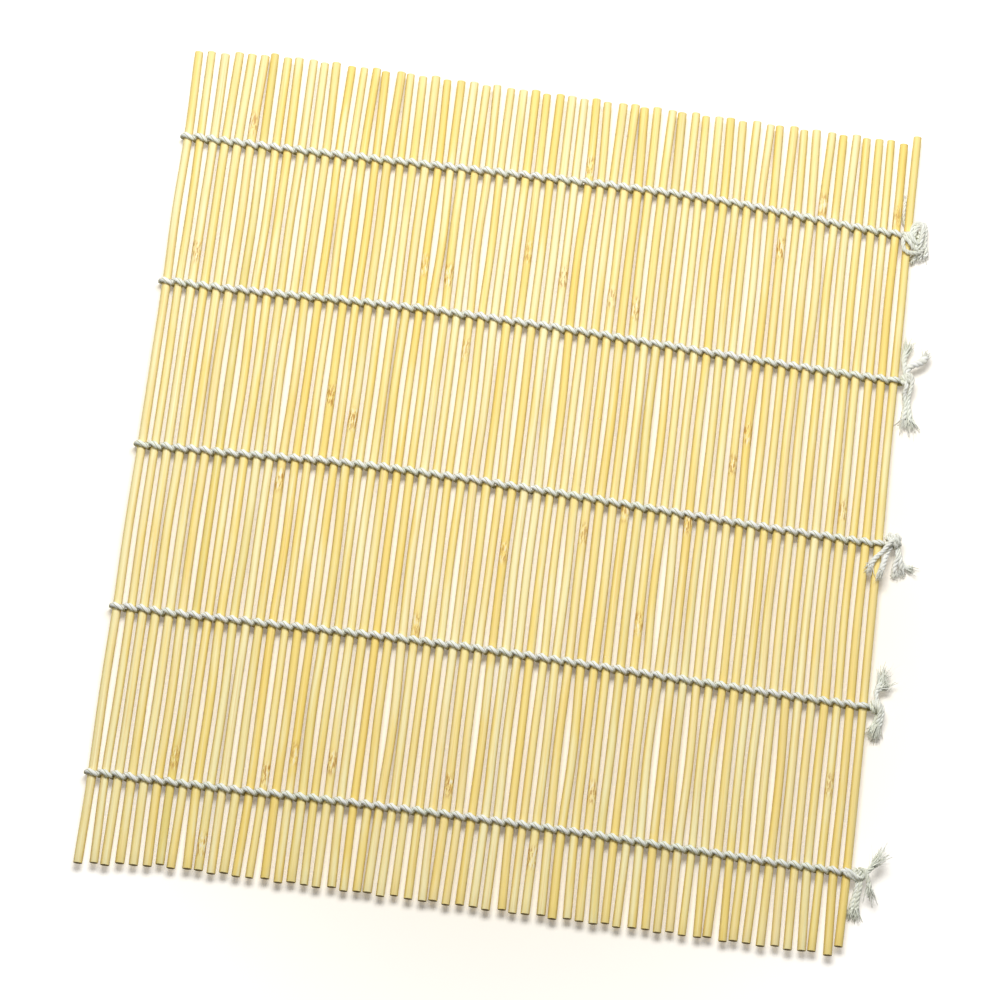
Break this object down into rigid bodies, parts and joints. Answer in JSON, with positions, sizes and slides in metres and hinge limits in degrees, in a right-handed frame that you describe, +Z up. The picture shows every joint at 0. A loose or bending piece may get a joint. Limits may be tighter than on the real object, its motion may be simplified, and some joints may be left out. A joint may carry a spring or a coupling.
{
  "type": "sushi rolling mat",
  "caption": "Flexible rolling mat of round bamboo sticks bound side by side by rows of twine, knotted along one edge.",
  "frame": {"origin": "on the surface that the mat rests on, under the middle stick where the middle twine row passes beneath it", "axes": "+X along the twine rows towards the knotted edge, +Y along the sticks, +Z up out of the mat"},
  "size_m": [0.2257, 0.2447, 0.0049],
  "materials": {
    "bamboo": "smooth split bamboo, unvarnished",
    "twine": "plied cotton twine, undyed"
  },
  "bodies": {
    "link_15": {"stick_pair_15": "bamboo", "twine_wraps_15": "twine"},
    "link_14": {"stick_pair_14": "bamboo", "twine_wraps_14": "twine"},
    "link_13": {"stick_pair_13": "bamboo", "twine_wraps_13": "twine"},
    "link_12": {"stick_pair_12": "bamboo", "twine_wraps_12": "twine"},
    "link_11": {"stick_pair_11": "bamboo", "twine_wraps_11": "twine"},
    "link_10": {"stick_pair_10": "bamboo", "twine_wraps_10": "twine"},
    "link_09": {"stick_pair_09": "bamboo", "twine_wraps_09": "twine"},
    "link_08": {"stick_pair_08": "bamboo", "twine_wraps_08": "twine"},
    "link_07": {"stick_pair_07": "bamboo", "twine_wraps_07": "twine"},
    "link_06": {"stick_pair_06": "bamboo", "twine_wraps_06": "twine"},
    "link_05": {"stick_pair_05": "bamboo", "twine_wraps_05": "twine"},
    "link_04": {"stick_pair_04": "bamboo", "twine_wraps_04": "twine"},
    "link_03": {"stick_pair_03": "bamboo", "twine_wraps_03": "twine"},
    "link_02": {"stick_pair_02": "bamboo", "twine_wraps_02": "twine"},
    "link_01": {"stick_pair_01": "bamboo", "twine_wraps_01": "twine"},
    "link_16": {"stick_pair_16": "bamboo", "twine_wraps_16": "twine"},
    "link_17": {"stick_pair_17": "bamboo", "twine_wraps_17": "twine"},
    "link_18": {"stick_pair_18": "bamboo", "twine_wraps_18": "twine"},
    "link_19": {"stick_pair_19": "bamboo", "twine_wraps_19": "twine"},
    "link_20": {"stick_pair_20": "bamboo", "twine_wraps_20": "twine"},
    "link_21": {"stick_pair_21": "bamboo", "twine_wraps_21": "twine"},
    "link_22": {"stick_pair_22": "bamboo", "twine_wraps_22": "twine"},
    "link_23": {"stick_pair_23": "bamboo", "twine_wraps_23": "twine"},
    "link_24": {"stick_pair_24": "bamboo", "twine_wraps_24": "twine"},
    "link_25": {"stick_pair_25": "bamboo", "twine_wraps_25": "twine"},
    "link_26": {"stick_pair_26": "bamboo", "twine_wraps_26": "twine"},
    "link_27": {"stick_pair_27": "bamboo", "twine_wraps_27": "twine"},
    "link_28": {"stick_pair_28": "bamboo", "twine_wraps_28": "twine"},
    "knot_edge": {"knot_edge_sticks": "bamboo", "knot_edge_twine": "twine", "end_knots": "twine", "knot_tails": "twine"}
  },
  "joints": [
    {"name": "roll", "type": "hinge", "parent": "link_15", "child": "link_14", "pos_m": [-0.0054, 0, 0.00235], "axis": [0, 1, 0], "range_deg": [0, 18.92]},
    {"name": "bend_13", "type": "hinge", "parent": "link_14", "child": "link_13", "pos_m": [-0.0126, 0, 0.00235], "axis": [0, 1, 0], "range_deg": [0, 19.2]},
    {"name": "bend_12", "type": "hinge", "parent": "link_13", "child": "link_12", "pos_m": [-0.0198, 0, 0.00235], "axis": [0, 1, 0], "range_deg": [0, 19.49]},
    {"name": "bend_11", "type": "hinge", "parent": "link_12", "child": "link_11", "pos_m": [-0.027, 0, 0.00235], "axis": [0, 1, 0], "range_deg": [0, 19.79]},
    {"name": "bend_10", "type": "hinge", "parent": "link_11", "child": "link_10", "pos_m": [-0.0342, 0, 0.00235], "axis": [0, 1, 0], "range_deg": [0, 20.11]},
    {"name": "bend_09", "type": "hinge", "parent": "link_10", "child": "link_09", "pos_m": [-0.0414, 0, 0.00235], "axis": [0, 1, 0], "range_deg": [0, 20.45]},
    {"name": "bend_08", "type": "hinge", "parent": "link_09", "child": "link_08", "pos_m": [-0.0486, 0, 0.00235], "axis": [0, 1, 0], "range_deg": [0, 20.8]},
    {"name": "bend_07", "type": "hinge", "parent": "link_08", "child": "link_07", "pos_m": [-0.0558, 0, 0.00235], "axis": [0, 1, 0], "range_deg": [0, 21.17]},
    {"name": "bend_06", "type": "hinge", "parent": "link_07", "child": "link_06", "pos_m": [-0.063, 0, 0.00235], "axis": [0, 1, 0], "range_deg": [0, 21.56]},
    {"name": "bend_05", "type": "hinge", "parent": "link_06", "child": "link_05", "pos_m": [-0.0702, 0, 0.00235], "axis": [0, 1, 0], "range_deg": [0, 21.97]},
    {"name": "bend_04", "type": "hinge", "parent": "link_05", "child": "link_04", "pos_m": [-0.0774, 0, 0.00235], "axis": [0, 1, 0], "range_deg": [0, 22.41]},
    {"name": "bend_03", "type": "hinge", "parent": "link_04", "child": "link_03", "pos_m": [-0.0846, 0, 0.00235], "axis": [0, 1, 0], "range_deg": [0, 22.87]},
    {"name": "bend_02", "type": "hinge", "parent": "link_03", "child": "link_02", "pos_m": [-0.0918, 0, 0.00235], "axis": [0, 1, 0], "range_deg": [0, 23.36]},
    {"name": "bend_01", "type": "hinge", "parent": "link_02", "child": "link_01", "pos_m": [-0.099, 0, 0.00235], "axis": [0, 1, 0], "range_deg": [0, 23.89]},
    {"name": "bend_16", "type": "hinge", "parent": "link_15", "child": "link_16", "pos_m": [0.0018, 0, 0.00235], "axis": [0, -1, 0], "range_deg": [0, 18.66]},
    {"name": "bend_17", "type": "hinge", "parent": "link_16", "child": "link_17", "pos_m": [0.009, 0, 0.00235], "axis": [0, -1, 0], "range_deg": [0, 18.41]},
    {"name": "bend_18", "type": "hinge", "parent": "link_17", "child": "link_18", "pos_m": [0.0162, 0, 0.00235], "axis": [0, -1, 0], "range_deg": [0, 18.16]},
    {"name": "bend_19", "type": "hinge", "parent": "link_18", "child": "link_19", "pos_m": [0.0234, 0, 0.00235], "axis": [0, -1, 0], "range_deg": [0, 17.93]},
    {"name": "bend_20", "type": "hinge", "parent": "link_19", "child": "link_20", "pos_m": [0.0306, 0, 0.00235], "axis": [0, -1, 0], "range_deg": [0, 17.7]},
    {"name": "bend_21", "type": "hinge", "parent": "link_20", "child": "link_21", "pos_m": [0.0378, 0, 0.00235], "axis": [0, -1, 0], "range_deg": [0, 17.48]},
    {"name": "bend_22", "type": "hinge", "parent": "link_21", "child": "link_22", "pos_m": [0.045, 0, 0.00235], "axis": [0, -1, 0], "range_deg": [0, 17.27]},
    {"name": "bend_23", "type": "hinge", "parent": "link_22", "child": "link_23", "pos_m": [0.0522, 0, 0.00235], "axis": [0, -1, 0], "range_deg": [0, 17.07]},
    {"name": "bend_24", "type": "hinge", "parent": "link_23", "child": "link_24", "pos_m": [0.0594, 0, 0.00235], "axis": [0, -1, 0], "range_deg": [0, 16.88]},
    {"name": "bend_25", "type": "hinge", "parent": "link_24", "child": "link_25", "pos_m": [0.0666, 0, 0.00235], "axis": [0, -1, 0], "range_deg": [0, 16.69]},
    {"name": "bend_26", "type": "hinge", "parent": "link_25", "child": "link_26", "pos_m": [0.0738, 0, 0.00235], "axis": [0, -1, 0], "range_deg": [0, 16.5]},
    {"name": "bend_27", "type": "hinge", "parent": "link_26", "child": "link_27", "pos_m": [0.081, 0, 0.00235], "axis": [0, -1, 0], "range_deg": [0, 16.33]},
    {"name": "bend_28", "type": "hinge", "parent": "link_27", "child": "link_28", "pos_m": [0.0882, 0, 0.00235], "axis": [0, -1, 0], "range_deg": [0, 16.16]},
    {"name": "bend_29", "type": "hinge", "parent": "link_28", "child": "knot_edge", "pos_m": [0.0954, 0, 0.00235], "axis": [0, -1, 0], "range_deg": [0, 15.99]}
  ],
  "couplings": [
    {"joint": "bend_13", "follows": "roll", "ratio": 1.0144},
    {"joint": "bend_12", "follows": "roll", "ratio": 1.0297},
    {"joint": "bend_11", "follows": "roll", "ratio": 1.0457},
    {"joint": "bend_10", "follows": "roll", "ratio": 1.0625},
    {"joint": "bend_09", "follows": "roll", "ratio": 1.0802},
    {"joint": "bend_08", "follows": "roll", "ratio": 1.0987},
    {"joint": "bend_07", "follows": "roll", "ratio": 1.1182},
    {"joint": "bend_06", "follows": "roll", "ratio": 1.1388},
    {"joint": "bend_05", "follows": "roll", "ratio": 1.1606},
    {"joint": "bend_04", "follows": "roll", "ratio": 1.1837},
    {"joint": "bend_03", "follows": "roll", "ratio": 1.2082},
    {"joint": "bend_02", "follows": "roll", "ratio": 1.2343},
    {"joint": "bend_01", "follows": "roll", "ratio": 1.2622},
    {"joint": "bend_16", "follows": "roll", "ratio": 0.9857},
    {"joint": "bend_17", "follows": "roll", "ratio": 0.9723},
    {"joint": "bend_18", "follows": "roll", "ratio": 0.9594},
    {"joint": "bend_19", "follows": "roll", "ratio": 0.947},
    {"joint": "bend_20", "follows": "roll", "ratio": 0.935},
    {"joint": "bend_21", "follows": "roll", "ratio": 0.9235},
    {"joint": "bend_22", "follows": "roll", "ratio": 0.9124},
    {"joint": "bend_23", "follows": "roll", "ratio": 0.9017},
    {"joint": "bend_24", "follows": "roll", "ratio": 0.8914},
    {"joint": "bend_25", "follows": "roll", "ratio": 0.8814},
    {"joint": "bend_26", "follows": "roll", "ratio": 0.8718},
    {"joint": "bend_27", "follows": "roll", "ratio": 0.8624},
    {"joint": "bend_28", "follows": "roll", "ratio": 0.8534},
    {"joint": "bend_29", "follows": "roll", "ratio": 0.8446}
  ]
}
